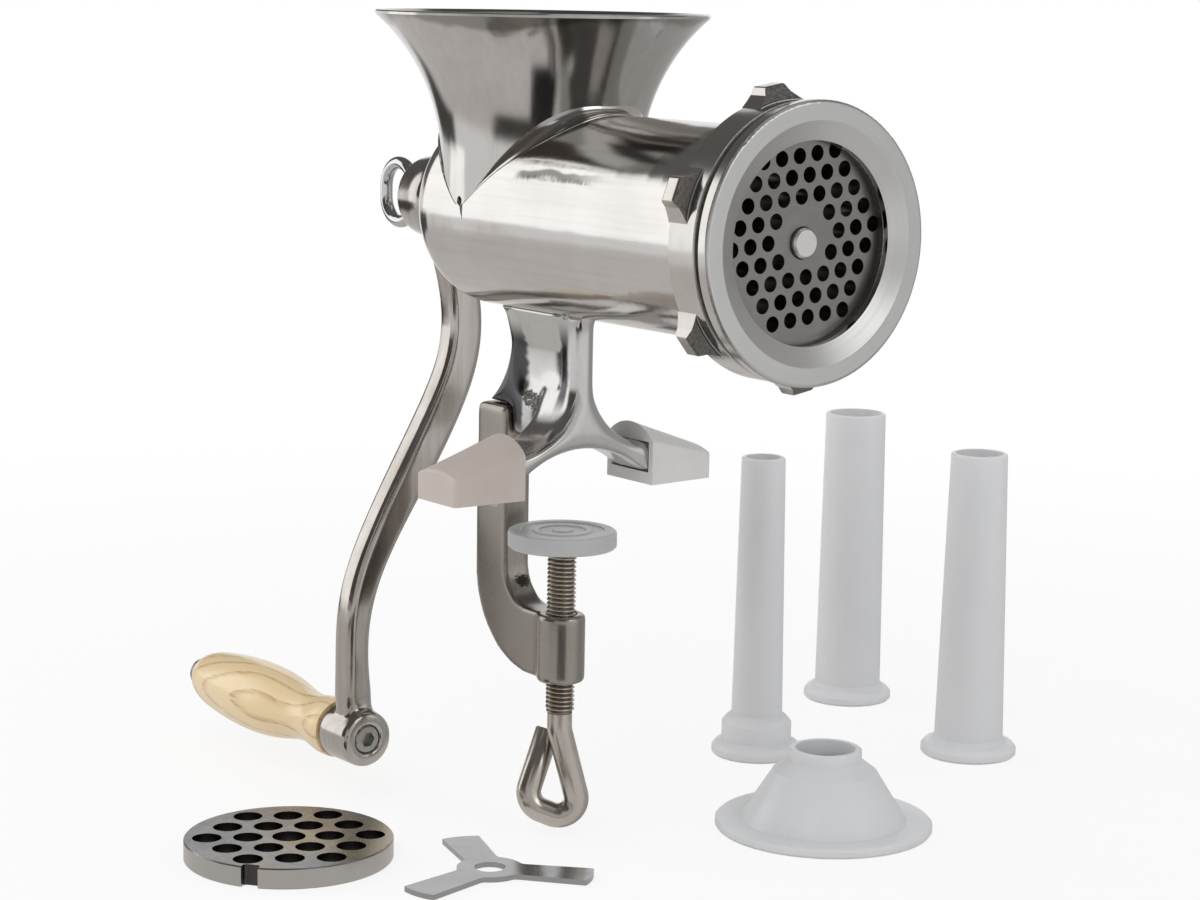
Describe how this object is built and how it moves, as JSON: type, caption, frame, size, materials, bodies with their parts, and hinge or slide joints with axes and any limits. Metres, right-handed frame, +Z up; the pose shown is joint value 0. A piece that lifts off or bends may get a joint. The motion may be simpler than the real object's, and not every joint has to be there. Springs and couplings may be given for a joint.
{
  "type": "manual meat grinder",
  "caption": "Hand cranked meat grinder with a trumpet hopper, ring nut, hole plate, swept crank with wooden grip and a table clamp, with its loose plate, star and stuffing tubes.",
  "frame": {"origin": "on the clamp screw's axis, in the plane of the table top that the boots rest on", "axes": "+Z up, -Y towards the outlet, +Y towards the crank"},
  "size_m": [0.3543, 0.3138, 0.2805],
  "materials": {
    "polished_steel": "polished stainless steel",
    "satin_steel": "satin stainless steel",
    "machined_steel": "turned on the front, cast between the lugs",
    "ground_steel": "ground",
    "cast_steel": "cast, blasted",
    "rod_steel": "rolled thread",
    "bright_steel": "bright",
    "zinc_steel": "zinc plated",
    "cap_steel": "dark, domed",
    "boot_rubber": "matt",
    "ash": "clear lacquer on ash",
    "clear_plastic": "milky, slightly translucent",
    "bearing_plastic": "matt"
  },
  "bodies": {
    "body": {"barrel": "polished_steel", "hopper": "polished_steel", "column": "polished_steel", "c_frame": "satin_steel", "boot_left": "boot_rubber", "boot_right": "boot_rubber", "rear_bush": "bearing_plastic", "thrust_washer": "bearing_plastic", "plate_key": "zinc_steel", "coarse_plate": "ground_steel", "stuffing_star": "ground_steel", "stuffing_flange": "clear_plastic", "tube_small": "clear_plastic", "tube_medium": "clear_plastic", "tube_large": "clear_plastic"},
    "auger_set": {"auger": "cast_steel", "knife": "ground_steel"},
    "crank": {"crank_arm": "polished_steel", "crank_washer": "zinc_steel", "grip_spindle": "zinc_steel", "grip_cap": "cap_steel"},
    "thumb": {"thumb_screw": "bright_steel"},
    "grip": {"wood_grip": "ash"},
    "plate": {"fine_plate": "ground_steel"},
    "ring": {"ring_nut": "machined_steel"},
    "pad": {"pad_disc": "zinc_steel", "pad_cap": "clear_plastic"},
    "screw": {"clamp_screw": "rod_steel"}
  },
  "joints": [
    {"name": "crank_turn", "type": "hinge", "parent": "body", "child": "auger_set", "pos_m": [0, 0.055, 0.0922], "axis": [0, -1, 0], "continuous": true},
    {"name": "crank_pull", "type": "slide", "parent": "auger_set", "child": "crank", "axis": [0, 1, 0], "range_m": [0, 0.0085]},
    {"name": "thumb_turn", "type": "hinge", "parent": "crank", "child": "thumb", "pos_m": [0, 0.09, 0.0922], "axis": [0, 1, 0], "range_deg": [0, 2448]},
    {"name": "grip_turn", "type": "hinge", "parent": "crank", "child": "grip", "pos_m": [-0.033, 0.12, -0.0991], "axis": [0, 1, 0], "continuous": true},
    {"name": "plate_slide", "type": "slide", "parent": "body", "child": "plate", "axis": [0, -1, 0], "range_m": [0, 0.011]},
    {"name": "ring_turn", "type": "hinge", "parent": "plate", "child": "ring", "pos_m": [0, -0.115, 0.0922], "axis": [0, -1, 0], "range_deg": [0, 1320]},
    {"name": "pad_lift", "type": "slide", "parent": "body", "child": "pad", "axis": [0, 0, 1], "range_m": [-0.02, 0.0135]},
    {"name": "screw_turn", "type": "hinge", "parent": "pad", "child": "screw", "pos_m": [0, 0, -0.05], "axis": [0, 0, 1], "range_deg": [-4800, 3240]}
  ],
  "couplings": [
    {"joint": "thumb_turn", "follows": "crank_pull", "rad_per_m": 5026.5},
    {"joint": "ring_turn", "follows": "plate_slide", "rad_per_m": 2094.4},
    {"joint": "screw_turn", "follows": "pad_lift", "rad_per_m": 4188.8}
  ]
}
